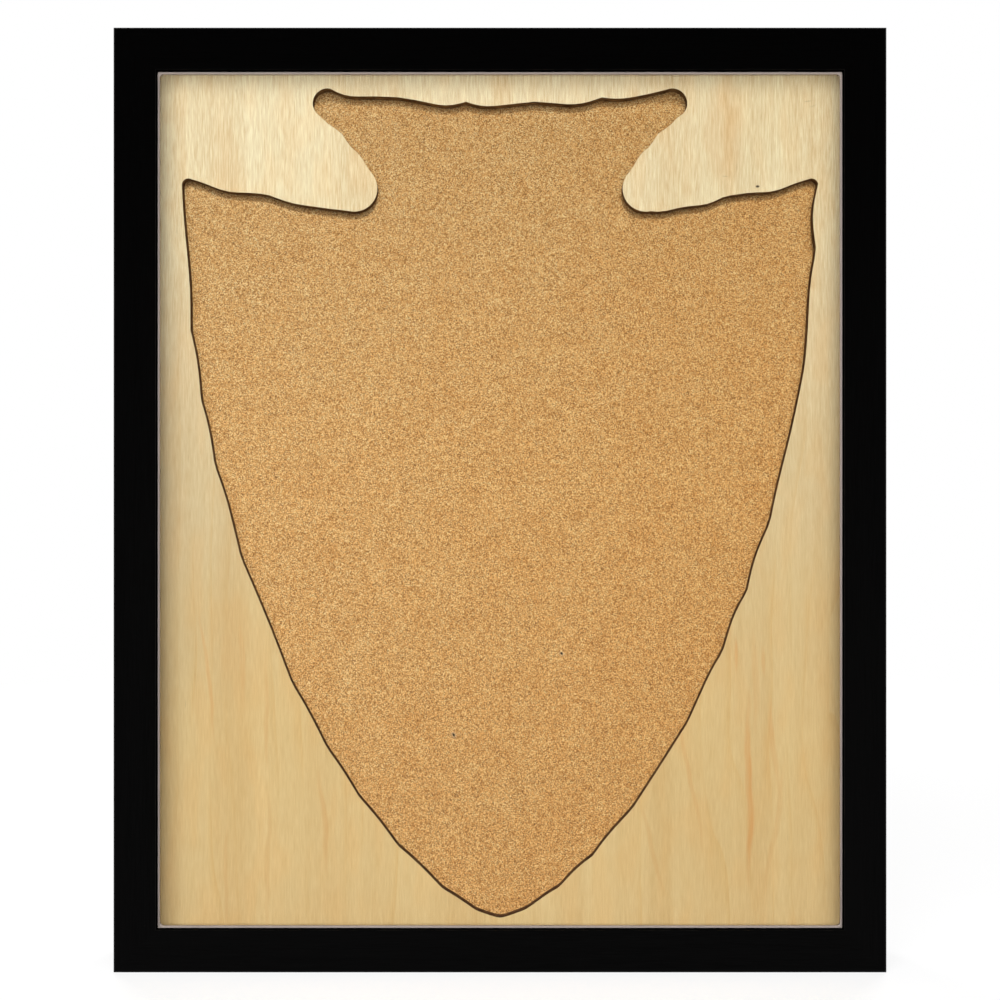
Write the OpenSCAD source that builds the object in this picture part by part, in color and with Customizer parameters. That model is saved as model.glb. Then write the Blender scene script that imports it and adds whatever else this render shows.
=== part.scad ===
// Wall display case for pins: a glazed door hinged on a shallow case, with a cork field
// behind a birch plywood panel that has a notched stone point cut out of it.
// Millimetres. X is the width, +Y goes from the front to the wall, +Z is up.
// The origin is under the middle of the case, on the surface that it stands on.

/* [Window] */
// Width of the window inside the door frame
sight_w = 406.4; // [340:0.1:480]
// Height of the window inside the door frame
sight_h = 508; // [440:0.1:600]

/* [Door frame] */
// Width of a rail's face, seen from the front
rail_face = 25.4; // [24.4:0.1:32]
// Depth of the rails from front to back
door_depth = 15; // [14:0.5:20]
// How far the lip laps the glass
lip_w = 8; // [7:0.25:9]
// Thickness of the lip
lip_t = 4; // [3:0.25:6]
// Rounding along the outer front edge
outer_round = 1.6; // [0.8:0.1:2.4]
// Rounding along the sight edge
sight_round = 0.6; // [0.3:0.1:1.2]

/* [Glazing] */
// Thickness of the glass
glass_t = 2; // [1.5:0.25:3]
// Gap round the edge of the glass
glass_gap = 0.5; // [0.3:0.1:0.8]
// Thickness of the gasket between lip and glass
gasket_t = 1; // [0.6:0.1:1.4]
// Thickness of the gasket's rim inside the sight edge
gasket_proud = 1.2; // [0.6:0.1:1.8]
// How far the gasket's rim reaches along the lip
gasket_rim = 0.6; // [0.3:0.1:2]
// Hidden width of the gasket behind the lip
gasket_hidden = 5; // [3:0.25:6]
// Corner radius of the gasket's inner edge
gasket_corner = 2.4; // [1:0.1:4]
// Width of a glass retainer strip
retainer_w = 5; // [4:0.25:5.5]
// Depth of a glass retainer strip
retainer_d = 6; // [4.5:0.25:6.5]
// Radius of a retainer brad
brad_r = 0.7; // [0.5:0.05:0.9]
// Radius of a brad's head
brad_head_r = 1.3; // [1.1:0.1:1.7]
// Height of a brad's head
brad_head_t = 0.7; // [0.4:0.1:1]
// Length of a retainer brad
brad_l = 12; // [9:0.5:14]
// Distance between brads along a strip
brad_pitch = 130; // [100:1:145]

/* [Case body] */
// Running gap between the door and the case
door_gap = 1; // [0.6:0.1:1.5]
// Thickness of the case walls
case_wall = 18; // [17:0.25:20]
// Thickness of the plywood panel
fascia_t = 6; // [4:0.25:8]
// Thickness of the cork sheet
cork_t = 6; // [4:0.25:8]
// Thickness of the board that the pin posts run into
backing_t = 10; // [8:0.25:13]
// Thickness of the back panel
back_t = 3; // [2.5:0.25:4]
// How deep the back panel sits behind the back edge
back_recess = 3; // [2:0.25:5]
// Width of the step that holds the back panel
back_step = 5; // [4:0.25:5.5]
// Gap round the edges of the panels
panel_gap = 0.4; // [0.2:0.05:0.7]
// Rounding along the outer back edge
back_round = 1; // [0.5:0.1:2]

/* [Cut-out] */
// Distance from the window's sides to the shoulders
cut_side = 11.2; // [5:0.1:30]
// Distance from the window's top to the ears
cut_top = 4; // [2:0.1:20]
// Distance from the window's bottom to the tip
cut_bottom = 2; // [1:0.1:20]
// Width across the ears of the base
base_w = 226; // [200:1:250]
// Rise of the ears over the middle of the base
base_dip = 10; // [4:0.5:16]
// Rounding of the ears
ear_round = 9; // [6:0.5:11]
// Width of the neck between the notches
neck_w = 148; // [120:1:160]
// Radius of a notch
notch_r = 14; // [11:0.5:16]
// Depth of the notches' middle below the base
notch_drop = 62; // [56:1:74]
// How far the barbs rise over the notches' middle
barb_rise = 6; // [0:0.5:12]
// Depth of the flaked scallops along the edges
scallop_d = 3; // [1:0.1:4]
// Usual length of a scallop
scallop_l = 40; // [30:1:60]

/* [Hinges] */
// Length of a hinge
hinge_l = 50; // [40:1:64]
// Width of a leaf on the frame
leaf_w = 14; // [12.5:0.25:15]
// Thickness of a leaf
leaf_t = 1.2; // [1:0.1:1.6]
// Outer radius of the knuckles
knuckle_r = 2.6; // [2.4:0.1:3]
// Radius of the hinge pin
pin_r = 1.25; // [1:0.05:1.5]
// Radius of the pin's head
pin_head_r = 2; // [1.8:0.1:2.4]
// Height of the pin's head
pin_head_t = 0.8; // [0.5:0.1:1.2]
// How far the pin's axis is outside the frame
axis_out = 1.2; // [1:0.1:1.6]
// Distance from the case's end to a hinge's middle
hinge_inset = 92; // [70:1:110]
// Distance from the frame's side to the leaf screws
leaf_screw_in = 8; // [6.5:0.25:9]
// Distance between the screws of a leaf
leaf_screw_pitch = 17; // [13:0.5:18]
// Radial play between pin and turning knuckle
run_fit = 0.06; // [0.03:0.01:0.1]
// Radial play between pin and fixed knuckles
held_fit = 0.02; // [0.01:0.01:0.03]

/* [Screws] */
// Shank radius of the countersunk screws
flat_screw_r = 1.3; // [1.1:0.05:1.5]
// Head radius of the countersunk screws
flat_head_r = 2.6; // [2.4:0.1:2.9]
// Length of the countersunk screws
flat_screw_l = 9; // [7:0.5:11]
// Shank radius of the hanger screws
pan_screw_r = 1.4; // [1.2:0.05:1.6]
// Head radius of the hanger screws
pan_head_r = 2.9; // [2.5:0.1:3.3]
// Head height of the hanger screws
pan_head_t = 1.8; // [1.4:0.1:2.2]
// Length of the hanger screws under the head
pan_screw_l = 12; // [9:0.5:15]
// Radial play of a fastener in its hole
fastener_fit = 0.05; // [0.03:0.01:0.08]

/* [Corner nails] */
// Length of one leg of a corner nail
nail_leg = 6; // [4:0.25:7]
// Sheet thickness of a corner nail
nail_t = 0.8; // [0.5:0.1:1]
// How deep a corner nail is driven
nail_l = 8; // [6:0.5:9]
// Distance from the frame's edge to the outer nail
nail_inset = 3.5; // [3:0.25:4.5]
// Distance between the door's two nails in a corner
nail_step = 5; // [4:0.25:6]

/* [Catches] */
// Radius of a magnet
magnet_r = 5; // [4:0.25:6]
// Length of a magnet
magnet_l = 6; // [5:0.25:10]
// Radius of a strike plate
strike_r = 6; // [5:0.25:6.5]
// Thickness of a strike plate
strike_t = 1.5; // [1:0.1:2]
// Distance from the case's end to a catch
catch_inset = 70; // [40:1:100]
// Length of the finger notch behind the door
finger_l = 44; // [30:1:60]
// Radius of the finger notch
finger_r = 6; // [4:0.25:8]

/* [Wall hangers] */
// Distance from the top down to a ring's pivot
hanger_drop = 150; // [130:1:165]
// Radius of the ring's wire
wire_r = 1.15; // [1:0.05:1.3]
// Width inside a ring
ring_w = 10.4; // [9.6:0.1:10.8]
// Length of the ring's straight legs
ring_leg = 5; // [4:0.25:7]
// Space between a ring and its strap
ring_clear = 0.35; // [0.3:0.05:0.5]
// Gap between a ring and the case's side
ring_margin = 0.4; // [0.2:0.1:0.8]
// Width of a strap
strap_w = 8; // [7:0.25:8.5]
// Thickness of a strap
strap_t = 0.8; // [0.6:0.05:1]
// Distance from the ring's pivot to the strap's screw
strap_screw_drop = 17.5; // [16.5:0.25:22]
// Height of the wall bumpers
bumper_t = 4.6; // [4.4:0.1:6]
// Radius of the wall bumpers
bumper_r = 5; // [4:0.25:6]
// Rounding along a bumper's edge
bumper_round = 1; // [0.5:0.1:1.5]
// Distance from the case's end to a bumper
bumper_inset = 24; // [18:1:30]
// Width of a panel point
point_w = 6; // [4:0.25:8]
// Thickness of a panel point
point_t = 0.6; // [0.4:0.05:0.8]
// How far a panel point goes into the case wall
point_in = 6; // [4:0.25:8]
// How far a panel point laps the back panel
point_out = 8; // [6:0.25:10]
// Distance between panel points along a side
point_pitch = 160; // [140:1:180]

/* [Hidden] */
$fn = 64;
over = 1;           // how far a cut runs past the faces that it opens
retainer_gap = 0.2; // between the retainers and the walls of the rabbet
mortise_gap = 0.1;  // round a leaf, a magnet or a strike plate in the wood
knuckle_gap = 0.3;  // between knuckles, and between a knuckle and the other leaf
relief_gap = 0.4;   // between a knuckle and the wood
disc_edge = 0.4;    // chamfer of the magnets and the strike plates
recess_w = 0.6;     // width of a screw's cross recess
recess_l = 3;       // length of a screw's cross recess
recess_d = 0.8;     // depth of a screw's cross recess
pan_taper = 0.8;    // share of a hanger screw's head radius that is left at its top

// Outer size, and the planes from front to wall
outer_w = sight_w + 2 * rail_face;
outer_h = sight_h + 2 * rail_face;
mid_z = outer_h / 2;
step_d = back_t + back_recess;
case_depth = fascia_t + cork_t + backing_t + step_d;
front_y = -(door_depth + door_gap + case_depth + bumper_t) / 2;
gasket_y = front_y + lip_t;
glass_y = gasket_y + gasket_t;
retainer_y = glass_y + glass_t;
door_back_y = front_y + door_depth;
case_front_y = door_back_y + door_gap;
cork_y = case_front_y + fascia_t;
backing_y = cork_y + cork_t;
back_y = backing_y + backing_t;
case_back_y = case_front_y + case_depth;

// Sizes of what fits inside
panel_w = outer_w - 2 * (case_wall + panel_gap);
panel_h = outer_h - 2 * (case_wall + panel_gap);
land = case_wall - back_step;
back_open_w = outer_w - 2 * land;
back_open_h = outer_h - 2 * land;
rabbet_w = sight_w + 2 * lip_w;
rabbet_h = sight_h + 2 * lip_w;
retainers_w = rabbet_w - 2 * retainer_gap;
retainers_h = rabbet_h - 2 * retainer_gap;
brad_y = retainer_y + retainer_d / 2;

// Places of the moving joints and the catches
hinge_x = -outer_w / 2 - axis_out;
hinge_y = case_front_y - door_gap / 2;
hinge_low_z = hinge_inset;
hinge_high_z = outer_h - hinge_inset;
knuckle_l = (hinge_l - 2 * knuckle_gap) / 3;
catch_x = outer_w / 2 - case_wall / 2;
catch_zs = [catch_inset, outer_h - catch_inset];
ring_x = outer_w / 2 - ring_margin - ring_w / 2 - 2 * wire_r;
ring_y = case_back_y + strap_t + ring_clear + wire_r;
ring_z = outer_h - hanger_drop;

// Helpers for placing

// The four sides of a frame of the given outer size: children lie along X from 0, with the
// outer edge at z = 0 and the inside towards +Z
module bottom_side(w, h) { translate([-w / 2, 0, mid_z - h / 2]) children(); }
module top_side(w, h) { translate([-w / 2, 0, mid_z + h / 2]) mirror([0, 0, 1]) children(); }
module right_side(w, h) { translate([w / 2, 0, mid_z - h / 2]) rotate([0, -90, 0]) children(); }
module left_side(w, h) { mirror([1, 0, 0]) right_side(w, h) children(); }

// The four outer corners: children start at the corner and run inwards along +X and +Z
module at_corners() {
    for (mx = [0, 1], mz = [0, 1])
        translate([0, 0, mid_z]) mirror([mx, 0, 0]) mirror([0, 0, mz])
            translate([-outer_w / 2, 0, -outer_h / 2]) children();
}

module board(w, h, y, t) { translate([-w / 2, y, mid_z - h / 2]) cube([w, t, h]); }

// A rail along X with ends cut at 45 degrees; its section has depth first, then width
module mitred_rail(length, width, depth) {
    intersection() {
        rotate([90, 0, 90]) linear_extrude(length) children();
        translate([0, depth + over, 0]) rotate([90, 0, 0]) linear_extrude(depth + 2 * over)
            polygon([[0, 0], [length, 0], [length - width, width], [width, width]]);
    }
}

// Points of a quarter circle from one angle to another
function arc(x, y, r, from, to, steps = 8) =
    [for (i = [0:steps]) let (a = from + (to - from) * i / steps) [x + r * cos(a), y + r * sin(a)]];

// A rectangle with rounded corners
module round_rect(w, h, r) {
    square([w - 2 * r, h], center = true);
    square([w, h - 2 * r], center = true);
    for (x = [-1, 1], y = [-1, 1]) translate([x * (w / 2 - r), y * (h / 2 - r)]) circle(r);
}

// Fasteners, drawn along -Z with the top of the head at z = 0

module cross_recess() {
    for (a = [0, 90]) rotate([0, 0, a])
        translate([-recess_l / 2, -recess_w / 2, -recess_d]) cube([recess_l, recess_w, recess_d + over]);
}

module flat_screw() {
    cone = flat_head_r - flat_screw_r;
    difference() {
        union() {
            translate([0, 0, -cone]) cylinder(h = cone, r1 = flat_screw_r, r2 = flat_head_r);
            translate([0, 0, -flat_screw_l + flat_screw_r]) cylinder(h = flat_screw_l - cone - flat_screw_r, r = flat_screw_r);
            translate([0, 0, -flat_screw_l]) cylinder(h = flat_screw_r, r1 = 0, r2 = flat_screw_r);
        }
        cross_recess();
    }
}

module flat_screw_hole() {
    cone = flat_head_r - flat_screw_r;
    r = flat_screw_r + fastener_fit;
    translate([0, 0, -cone]) cylinder(h = cone, r1 = r, r2 = r + cone);
    cylinder(h = over, r = r + cone);
    translate([0, 0, -flat_screw_l - fastener_fit]) cylinder(h = flat_screw_l, r = r);
}

module pan_screw() {
    difference() {
        union() {
            translate([0, 0, -pan_head_t]) cylinder(h = pan_head_t, r1 = pan_head_r, r2 = pan_head_r * pan_taper);
            translate([0, 0, -pan_head_t - pan_screw_l + pan_screw_r])
                cylinder(h = pan_screw_l - pan_screw_r, r = pan_screw_r);
            translate([0, 0, -pan_head_t - pan_screw_l]) cylinder(h = pan_screw_r, r1 = 0, r2 = pan_screw_r);
        }
        cross_recess();
    }
}

module pan_screw_hole() {
    translate([0, 0, -pan_head_t - pan_screw_l - fastener_fit])
        cylinder(h = pan_screw_l + fastener_fit, r = pan_screw_r + fastener_fit);
}

module facing_front() { rotate([90, 0, 0]) children(); }
module facing_back() { rotate([-90, 0, 0]) children(); }

// Door frame

module door_section() {
    polygon(concat(
        arc(outer_round, outer_round, outer_round, 270, 180),
        arc(sight_round, rail_face - sight_round, sight_round, 180, 90),
        [[lip_t, rail_face], [lip_t, rail_face - lip_w], [door_depth, rail_face - lip_w], [door_depth, 0]]
    ));
}

module door_rail(length) {
    translate([0, front_y, 0]) mitred_rail(length, rail_face, door_depth) door_section();
}

// One corner nail: a strip folded at a right angle across the mitre
module corner_nail(inset, y, play) {
    translate([inset, y, inset]) rotate([90, 0, 0]) translate([-play, -play, -nail_l - play])
        linear_extrude(nail_l + 2 * play) polygon([
            [0, 0], [nail_leg + 2 * play, 0], [nail_leg + 2 * play, nail_t + 2 * play],
            [nail_t + 2 * play, nail_t + 2 * play], [nail_t + 2 * play, nail_leg + 2 * play],
            [0, nail_leg + 2 * play]
        ]);
}

module door_nails(play) {
    at_corners() for (i = [0, 1]) corner_nail(nail_inset + i * nail_step, door_back_y - nail_l, play);
}

module brad() {
    translate([0, 0, -brad_head_t]) cylinder(h = brad_head_t, r = brad_head_r);
    translate([0, 0, -brad_l]) cylinder(h = brad_l, r = brad_r);
}

module brad_hole() {
    translate([0, 0, -brad_head_t]) cylinder(h = brad_head_t + over, r = brad_head_r + fastener_fit);
    translate([0, 0, -brad_l - fastener_fit]) cylinder(h = brad_l, r = brad_r + fastener_fit);
}

// The brads of one side, driven outwards through the strip into the rail
module brad_places(length) {
    for (i = [-1, 0, 1]) translate([length / 2 + i * brad_pitch, brad_y, retainer_w]) children();
}

module strike_hole() {
    for (z = catch_zs) translate([catch_x, door_back_y, z]) {
        facing_back() translate([0, 0, -strike_t]) cylinder(h = strike_t + over, r = strike_r + mortise_gap);
        facing_back() flat_screw_hole();
    }
}

module door_rail_top() {
    color("#171314") difference() {
        top_side(outer_w, outer_h) door_rail(outer_w);
        door_nails(fastener_fit);
        top_side(retainers_w, retainers_h) brad_places(retainers_w) brad_hole();
    }
}

module door_rail_bottom() {
    color("#171314") difference() {
        bottom_side(outer_w, outer_h) door_rail(outer_w);
        door_nails(fastener_fit);
        bottom_side(retainers_w, retainers_h) brad_places(retainers_w) brad_hole();
    }
}

module door_rail_left() {
    color("#171314") difference() {
        left_side(outer_w, outer_h) door_rail(outer_h);
        door_nails(fastener_fit);
        left_side(retainers_w, retainers_h) brad_places(retainers_h) brad_hole();
        hinge_mortises(door_back_y - leaf_t - mortise_gap);
        leaf_screw_places(door_back_y) facing_back() flat_screw_hole();
    }
}

module door_rail_right() {
    color("#171314") difference() {
        right_side(outer_w, outer_h) door_rail(outer_h);
        door_nails(fastener_fit);
        right_side(retainers_w, retainers_h) brad_places(retainers_h) brad_hole();
        strike_hole();
    }
}

module door_corner_nails() { color("silver") door_nails(0); }

// Glazing

module door_glazing() {
    color("lightcyan", 0.3) board(rabbet_w - 2 * glass_gap, rabbet_h - 2 * glass_gap, glass_y, glass_t);
}

// A ring on the glass, with its outer edge the given distance outside the sight edge
module gasket_ring(hidden, depth) {
    translate([0, glass_y, mid_z]) rotate([90, 0, 0]) linear_extrude(depth) difference() {
        square([sight_w + 2 * hidden, sight_h + 2 * hidden], center = true);
        round_rect(sight_w - 2 * gasket_proud, sight_h - 2 * gasket_proud, gasket_corner);
    }
}

// An angle section: flat behind the lip, with a rim that lines the sight edge
module glazing_gasket() {
    color("#b3a690") {
        gasket_ring(gasket_hidden, gasket_t);
        gasket_ring(0, gasket_t + gasket_rim);
    }
}

module retainer(length) {
    difference() {
        translate([0, retainer_y, 0]) mitred_rail(length, retainer_w, retainer_d)
            polygon(concat([[0, 0], [0, retainer_w]],
                arc(retainer_d - sight_round, retainer_w - sight_round, sight_round, 90, 0),
                [[retainer_d, 0]]));
        brad_places(length) brad_hole();
    }
}

module retainer_top() { color("#1d191a") top_side(retainers_w, retainers_h) retainer(retainers_w); }
module retainer_bottom() { color("#1d191a") bottom_side(retainers_w, retainers_h) retainer(retainers_w); }
module retainer_left() { color("#1d191a") left_side(retainers_w, retainers_h) retainer(retainers_h); }
module retainer_right() { color("#1d191a") right_side(retainers_w, retainers_h) retainer(retainers_h); }

module retainer_brads() {
    color("silver") {
        top_side(retainers_w, retainers_h) brad_places(retainers_w) brad();
        bottom_side(retainers_w, retainers_h) brad_places(retainers_w) brad();
        left_side(retainers_w, retainers_h) brad_places(retainers_h) brad();
        right_side(retainers_w, retainers_h) brad_places(retainers_h) brad();
    }
}

// Catches

// A disc with a chamfered face at z = 0, the rest of it below
module disc(r, t) {
    translate([0, 0, -t]) cylinder(h = t - disc_edge, r = r);
    translate([0, 0, -disc_edge]) cylinder(h = disc_edge, r1 = r, r2 = r - disc_edge);
}

module strike_plates() {
    color("silver") for (z = catch_zs) translate([catch_x, door_back_y, z]) facing_back() difference() {
        disc(strike_r, strike_t);
        flat_screw_hole();
    }
}

module strike_screws() {
    color("silver") for (z = catch_zs) translate([catch_x, door_back_y, z]) facing_back() flat_screw();
}

module catch_magnets() {
    color("gainsboro") for (z = catch_zs) translate([catch_x, door_back_y, z]) facing_front() disc(magnet_r, magnet_l);
}

// Hinges

module along_axis(z, length, r) { translate([hinge_x, hinge_y, z]) cylinder(h = length, r = r); }

module both_hinges() { for (z = [hinge_low_z, hinge_high_z]) translate([0, 0, z]) children(); }

// Pocket for the leaves in a piece of wood, from the given depth to the open parting
module hinge_mortises(y) {
    both_hinges() {
        translate([-outer_w / 2 - over, y, -hinge_l / 2 - mortise_gap])
            cube([leaf_w + over + mortise_gap, leaf_t + mortise_gap + door_gap / 2, hinge_l + 2 * mortise_gap]);
        along_axis(-hinge_l / 2 - relief_gap, hinge_l + pin_head_t + 2 * relief_gap, knuckle_r + relief_gap);
    }
}

module leaf_screw_places(y) {
    both_hinges() for (i = [-1, 0, 1])
        translate([-outer_w / 2 + leaf_screw_in, y, i * leaf_screw_pitch]) children();
}

module leaf_plate(y) {
    translate([hinge_x, y, -hinge_l / 2]) cube([axis_out + leaf_w, leaf_t, hinge_l]);
}

// The leaf on the case has the two outer knuckles
module case_leaf() {
    difference() {
        union() {
            difference() {
                leaf_plate(case_front_y);
                along_axis(-knuckle_l / 2 - knuckle_gap, knuckle_l + 2 * knuckle_gap, knuckle_r + knuckle_gap);
            }
            along_axis(-hinge_l / 2, knuckle_l, knuckle_r);
            along_axis(hinge_l / 2 - knuckle_l, knuckle_l, knuckle_r);
        }
        along_axis(-hinge_l / 2 - over, hinge_l + 2 * over, pin_r + held_fit);
    }
}

// The leaf on the door has the middle knuckle
module door_leaf() {
    difference() {
        union() {
            difference() {
                leaf_plate(door_back_y - leaf_t);
                along_axis(-hinge_l / 2 - over, over + knuckle_l + knuckle_gap, knuckle_r + knuckle_gap);
                along_axis(knuckle_l / 2, over + knuckle_l + knuckle_gap, knuckle_r + knuckle_gap);
            }
            along_axis(-knuckle_l / 2, knuckle_l, knuckle_r);
        }
        along_axis(-hinge_l / 2 - over, hinge_l + 2 * over, pin_r + run_fit);
    }
}

module hinge_pin() {
    along_axis(-hinge_l / 2, hinge_l, pin_r);
    along_axis(hinge_l / 2, pin_head_t, pin_head_r);
}

module hinge_upper_case_leaf() {
    color("goldenrod") difference() {
        translate([0, 0, hinge_high_z]) case_leaf();
        leaf_screw_places(case_front_y) facing_front() flat_screw_hole();
    }
}

module hinge_lower_case_leaf() {
    color("goldenrod") difference() {
        translate([0, 0, hinge_low_z]) case_leaf();
        leaf_screw_places(case_front_y) facing_front() flat_screw_hole();
    }
}

module hinge_upper_door_leaf() {
    color("goldenrod") difference() {
        translate([0, 0, hinge_high_z]) door_leaf();
        leaf_screw_places(door_back_y) facing_back() flat_screw_hole();
    }
}

module hinge_lower_door_leaf() {
    color("goldenrod") difference() {
        translate([0, 0, hinge_low_z]) door_leaf();
        leaf_screw_places(door_back_y) facing_back() flat_screw_hole();
    }
}

module hinge_upper_pin() { color("goldenrod") translate([0, 0, hinge_high_z]) hinge_pin(); }
module hinge_lower_pin() { color("goldenrod") translate([0, 0, hinge_low_z]) hinge_pin(); }

module hinge_case_screws() {
    color("goldenrod") leaf_screw_places(case_front_y) facing_front() flat_screw();
}

module hinge_door_screws() {
    color("goldenrod") leaf_screw_places(door_back_y) facing_back() flat_screw();
}

// Case body

module case_section() {
    polygon(concat(
        [[0, 0], [0, case_wall], [case_depth - step_d, case_wall], [case_depth - step_d, land], [case_depth, land]],
        arc(case_depth - back_round, back_round, back_round, 0, -90)
    ));
}

module case_rail(length) {
    translate([0, case_front_y, 0]) mitred_rail(length, case_wall, case_depth) case_section();
}

module case_nails(play) {
    at_corners() corner_nail(nail_inset, case_back_y - nail_l, play);
}

// The panel points of one side, from the wall of the step
module side_points(length, play) {
    for (i = [-1, 0, 1])
        translate([length / 2 + i * point_pitch - point_w / 2 - play, back_y + back_t - play, -point_in - play])
            cube([point_w + 2 * play, point_t + 2 * play, point_in + point_out + play]);
}

module hanger_places() {
    for (x = [-ring_x, ring_x]) translate([x, 0, ring_z]) children();
}

module strap_screw_place() {
    translate([0, case_back_y + strap_t + pan_head_t, -strap_screw_drop]) facing_back() children();
}

module case_top() {
    color("#171314") difference() {
        top_side(outer_w, outer_h) case_rail(outer_w);
        case_nails(fastener_fit);
        top_side(back_open_w, back_open_h) side_points(back_open_w, fastener_fit);
    }
}

module case_bottom() {
    color("#171314") difference() {
        bottom_side(outer_w, outer_h) case_rail(outer_w);
        case_nails(fastener_fit);
        bottom_side(back_open_w, back_open_h) side_points(back_open_w, fastener_fit);
    }
}

module case_side_left() {
    color("#171314") difference() {
        left_side(outer_w, outer_h) case_rail(outer_h);
        case_nails(fastener_fit);
        left_side(back_open_w, back_open_h) side_points(back_open_h, fastener_fit);
        hinge_mortises(case_front_y - door_gap / 2);
        leaf_screw_places(case_front_y) facing_front() flat_screw_hole();
        hanger_places() strap_screw_place() pan_screw_hole();
    }
}

module case_side_right() {
    color("#171314") difference() {
        right_side(outer_w, outer_h) case_rail(outer_h);
        case_nails(fastener_fit);
        right_side(back_open_w, back_open_h) side_points(back_open_h, fastener_fit);
        for (z = catch_zs) translate([catch_x, door_back_y + magnet_l, z])
            facing_front() cylinder(h = magnet_l, r = magnet_r + mortise_gap);
        hanger_places() strap_screw_place() pan_screw_hole();
        finger_notch();
    }
}

// A scoop behind the door's free edge, to open it by
module finger_notch() {
    translate([outer_w / 2, case_front_y, mid_z]) {
        translate([0, 0, -finger_l / 2]) cylinder(h = finger_l, r = finger_r);
        for (z = [-1, 1]) translate([0, 0, z * finger_l / 2]) sphere(finger_r);
    }
}

module case_corner_nails() { color("silver") case_nails(0); }

// Cut-out: a notched stone point with its tip down and flaked edges

base_z = mid_z + sight_h / 2 - cut_top;
tip_z = mid_z - sight_h / 2 + cut_bottom;
shoulder_x = sight_w / 2 - cut_side;
barb_round = 4;      // rounding of the barbs' tips
barb_end = 10;       // angle where a barb's rounding meets the blade
blade_power = 1.5;   // how full the blade is: 1 is an ellipse
tip_full = 0.25;     // share of an ellipse in the blade, which rounds the tip
scallop_steps = 10;  // straight pieces in one scallop
stray = 0.045;       // how far the scallops' ends stray from even spacing, as a share of the edge
stray_waves = 2.5;   // how often they stray to and fro along an edge
shallow = 0.5;       // how much shallower the shallowest scallops are
shallow_waves = 1.3; // how often the depth changes along an edge

// Middles of the ear's, the notch's and the barb's circles; the base is a shallow parabola
ear_slope = atan(8 * base_dip * (base_w / 2 - ear_round) / pow(base_w, 2));
base_end_x = base_w / 2 - ear_round * (1 + sin(ear_slope));
ear = [base_w / 2 - ear_round, base_edge(base_end_x) - ear_round * cos(ear_slope)];
notch = [neck_w / 2 + notch_r, base_z - notch_drop];
barb = [shoulder_x - barb_round, notch[1] + barb_rise - barb_round];
ear_angle = direction(ear, notch) + tangent_turn(ear, notch, ear_round + notch_r);
barb_angle = 180 + direction(notch, barb) - tangent_turn(barb, notch, barb_round + notch_r);

function base_edge(x) = base_z - base_dip * (1 - pow(2 * x / base_w, 2));
function direction(p, q) = atan2(q[1] - p[1], q[0] - p[0]);

// Angle between the line through two circles' middles and the normal of their crossing tangent
function tangent_turn(p, q, radii) = acos(radii / norm(q - p));

// Number of scallops in a stretch of edge
function flakes(length) = max(1, round(length / scallop_l));

// Depth of the flaking at a share t of a stretch; way is 1 or -1 and makes the two sides differ
function flaking(t, n, way) =
    scallop_d * abs(sin(180 * n * (t + way * stray * (1 - t) * sin(360 * stray_waves * t))))
        * (1 - shallow * pow(sin(360 * shallow_waves * t), 2));

// The points of a flaked edge between two points
function flaked(p, q, way) =
    let (n = flakes(norm(q - p)), along = (q - p) / norm(q - p), steps = n * scallop_steps)
    [for (i = [1:steps - 1]) let (t = i / steps) p + (q - p) * t + [along[1], -along[0]] * flaking(t, n, way)];

function base_points() =
    let (n = flakes(2 * base_end_x), steps = n * scallop_steps)
    [for (i = [0:steps]) let (t = i / steps, x = base_end_x * (2 * t - 1)) [x, base_edge(x) - flaking(t, n, 1)]];

// The blade's edge from under the barb to just short of the tip; the flaking fades there
function blade_points(way) =
    let (n = flakes(barb[1] - tip_z), steps = n * scallop_steps)
    [for (i = [1:steps - 1])
        let (a = 90 * i / steps,
             full = tip_full * cos(a) + (1 - tip_full) * pow(cos(a), blade_power),
             p = [shoulder_x * full, -(barb[1] - tip_z) * sin(a)],
             bite = sqrt(cos(a)) * flaking(i / steps, n, way))
        [0, barb[1]] + p * (1 - bite / norm(p))];

// One side from the ear to the tip, drawn on the right
function side_outline(way) =
    let (ear_arc = arc(ear[0], ear[1], ear_round, 90 + ear_slope, ear_angle, 12),
         notch_arc = arc(notch[0], notch[1], notch_r, 180 + ear_angle, 180 + barb_angle, 20),
         barb_arc = arc(barb[0], barb[1], barb_round, barb_angle, barb_end, 8))
    concat(
        ear_arc, flaked(ear_arc[len(ear_arc) - 1], notch_arc[0], way),
        notch_arc, flaked(notch_arc[len(notch_arc) - 1], barb_arc[0], way),
        barb_arc, blade_points(way)
    );

function mirrored(points) = [for (i = [len(points) - 1:-1:0]) [-points[i][0], points[i][1]]];

module fascia_panel() {
    color("#e2cfa6") difference() {
        board(panel_w, panel_h, case_front_y, fascia_t);
        translate([0, cork_y + over, 0]) rotate([90, 0, 0]) linear_extrude(fascia_t + 2 * over)
            polygon(concat(base_points(), side_outline(1), [[0, tip_z]], mirrored(side_outline(-1))));
    }
}

module cork_sheet() { color("#cfa267") board(panel_w, panel_h, cork_y, cork_t); }
module pin_backing() { color("white") board(panel_w, panel_h, backing_y, backing_t); }

module back_panel() {
    color("#8a6a48") board(back_open_w - 2 * panel_gap, back_open_h - 2 * panel_gap, back_y, back_t);
}

module back_points() {
    color("silver") {
        top_side(back_open_w, back_open_h) side_points(back_open_w, 0);
        bottom_side(back_open_w, back_open_h) side_points(back_open_w, 0);
        left_side(back_open_w, back_open_h) side_points(back_open_h, 0);
        right_side(back_open_w, back_open_h) side_points(back_open_h, 0);
    }
}

// Wall hangers

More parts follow.
